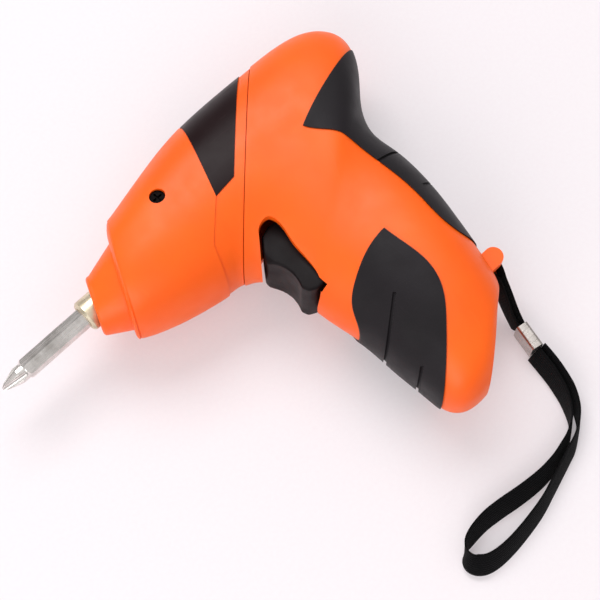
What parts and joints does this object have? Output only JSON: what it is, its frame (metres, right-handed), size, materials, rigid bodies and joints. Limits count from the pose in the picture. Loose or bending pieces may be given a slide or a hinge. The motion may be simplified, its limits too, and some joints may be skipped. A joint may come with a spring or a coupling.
{
  "type": "electric screwdriver",
  "caption": "Pistol-shaped cordless screwdriver with a moulded two-tone housing, rocker trigger, planetary gearbox, hexagon bit socket and a wrist strap.",
  "frame": {"origin": "mouth of the hexagon bit socket, on the spindle axis in the housing's middle plane", "axes": "+X back along the barrel, +Y to the top of the barrel with the handle along -Y, +Z to the left side, which faces up as the tool lies on its right side"},
  "size_m": [0.1664, 0.1754, 0.045],
  "materials": {
    "orange_shell": "satin moulded",
    "soft_grip": "matt soft-touch",
    "black_label": "gloss",
    "black_plastic": "fine moulded",
    "grey_nylon": "moulded",
    "tool_steel": "satin",
    "nickel": "plated",
    "sintered_bronze": "sintered",
    "motor_steel": "plated",
    "screw_steel": "dark zinc",
    "cell_jacket": "shrink film",
    "webbing": "woven"
  },
  "bodies": {
    "housing": {"left_housing": "orange_shell", "right_housing": "orange_shell", "nose_cap": "orange_shell", "front_grip_left": "soft_grip", "front_grip_right": "soft_grip", "rear_grip_left": "soft_grip", "rear_grip_right": "soft_grip", "name_plate": "black_label", "rocker_switch": "black_plastic", "charge_socket": "black_plastic", "gear_case": "grey_nylon", "motor_end_cap": "grey_nylon", "rocker_pin": "tool_steel", "strap_pin": "tool_steel", "thrust_washer": "tool_steel", "motor_plate": "tool_steel", "battery_strips": "nickel", "strap_clip": "nickel", "spindle_bush": "sintered_bronze", "motor_can": "motor_steel", "housing_screws": "screw_steel", "nose_screws": "screw_steel", "motor_screws": "screw_steel", "battery_cell_1": "cell_jacket", "battery_cell_2": "cell_jacket", "battery_cell_3": "cell_jacket", "battery_cell_4": "cell_jacket", "strap_loop": "webbing", "strap_tether": "webbing"},
    "spindle": {"output_spindle": "nickel", "bit_magnet": "nickel"},
    "bit": {"screwdriver_bit": "tool_steel"},
    "carrier": {"stage_carrier": "tool_steel"},
    "rotor": {"motor_shaft": "tool_steel", "motor_pinion": "tool_steel"},
    "rocker": {"rocker_trigger": "black_plastic"},
    "plunger_upper": {"switch_plunger_upper": "black_plastic"},
    "plunger_lower": {"switch_plunger_lower": "black_plastic"},
    "planet_1a": {"planet_1a": "tool_steel"},
    "planet_1b": {"planet_1b": "tool_steel"},
    "planet_1c": {"planet_1c": "tool_steel"},
    "planet_2a": {"planet_2a": "tool_steel"},
    "planet_2b": {"planet_2b": "tool_steel"},
    "planet_2c": {"planet_2c": "tool_steel"}
  },
  "joints": [
    {"name": "spindle_spin", "type": "hinge", "parent": "housing", "child": "spindle", "pos_m": [0, 0, 0], "axis": [1, 0, 0], "continuous": true},
    {"name": "rotor_spin", "type": "hinge", "parent": "housing", "child": "rotor", "pos_m": [0.06, 0, 0], "axis": [1, 0, 0], "continuous": true},
    {"name": "bit_slide", "type": "slide", "parent": "spindle", "child": "bit", "axis": [-1, 0, 0], "range_m": [0, 0.012]},
    {"name": "carrier_spin", "type": "hinge", "parent": "housing", "child": "carrier", "pos_m": [0.043, 0, 0], "axis": [1, 0, 0], "continuous": true},
    {"name": "planet_2a_spin", "type": "hinge", "parent": "spindle", "child": "planet_2a", "pos_m": [0.039, 0.00743, 0], "axis": [1, 0, 0], "continuous": true},
    {"name": "planet_2b_spin", "type": "hinge", "parent": "spindle", "child": "planet_2b", "pos_m": [0.039, -0.00371, 0.00643], "axis": [1, 0, 0], "continuous": true},
    {"name": "planet_2c_spin", "type": "hinge", "parent": "spindle", "child": "planet_2c", "pos_m": [0.039, -0.00371, -0.00643], "axis": [1, 0, 0], "continuous": true},
    {"name": "planet_1a_spin", "type": "hinge", "parent": "carrier", "child": "planet_1a", "pos_m": [0.048, 0.00743, 0], "axis": [1, 0, 0], "continuous": true},
    {"name": "planet_1b_spin", "type": "hinge", "parent": "carrier", "child": "planet_1b", "pos_m": [0.048, -0.00371, 0.00643], "axis": [1, 0, 0], "continuous": true},
    {"name": "planet_1c_spin", "type": "hinge", "parent": "carrier", "child": "planet_1c", "pos_m": [0.048, -0.00371, -0.00643], "axis": [1, 0, 0], "continuous": true},
    {"name": "rocker_tilt", "type": "hinge", "parent": "housing", "child": "rocker", "pos_m": [0.066, -0.036, 0], "axis": [0, 0, 1], "range_deg": [-4, 4], "stiffness_Nm_per_rad": 0.6},
    {"name": "plunger_upper_slide", "type": "slide", "parent": "housing", "child": "plunger_upper", "axis": [1, 0, 0], "range_m": [-0.00058, 0.00058]},
    {"name": "plunger_lower_slide", "type": "slide", "parent": "housing", "child": "plunger_lower", "axis": [1, 0, 0], "range_m": [-0.00058, 0.00058]}
  ],
  "couplings": [
    {"joint": "carrier_spin", "follows": "spindle_spin", "ratio": 6},
    {"joint": "rotor_spin", "follows": "spindle_spin", "ratio": 36},
    {"joint": "planet_2a_spin", "follows": "spindle_spin", "ratio": -2.5},
    {"joint": "planet_2b_spin", "follows": "spindle_spin", "ratio": -2.5},
    {"joint": "planet_2c_spin", "follows": "spindle_spin", "ratio": -2.5},
    {"joint": "planet_1a_spin", "follows": "spindle_spin", "ratio": -15},
    {"joint": "planet_1b_spin", "follows": "spindle_spin", "ratio": -15},
    {"joint": "planet_1c_spin", "follows": "spindle_spin", "ratio": -15},
    {"joint": "plunger_upper_slide", "follows": "rocker_tilt", "m_per_rad": -0.008},
    {"joint": "plunger_lower_slide", "follows": "rocker_tilt", "m_per_rad": 0.008}
  ]
}
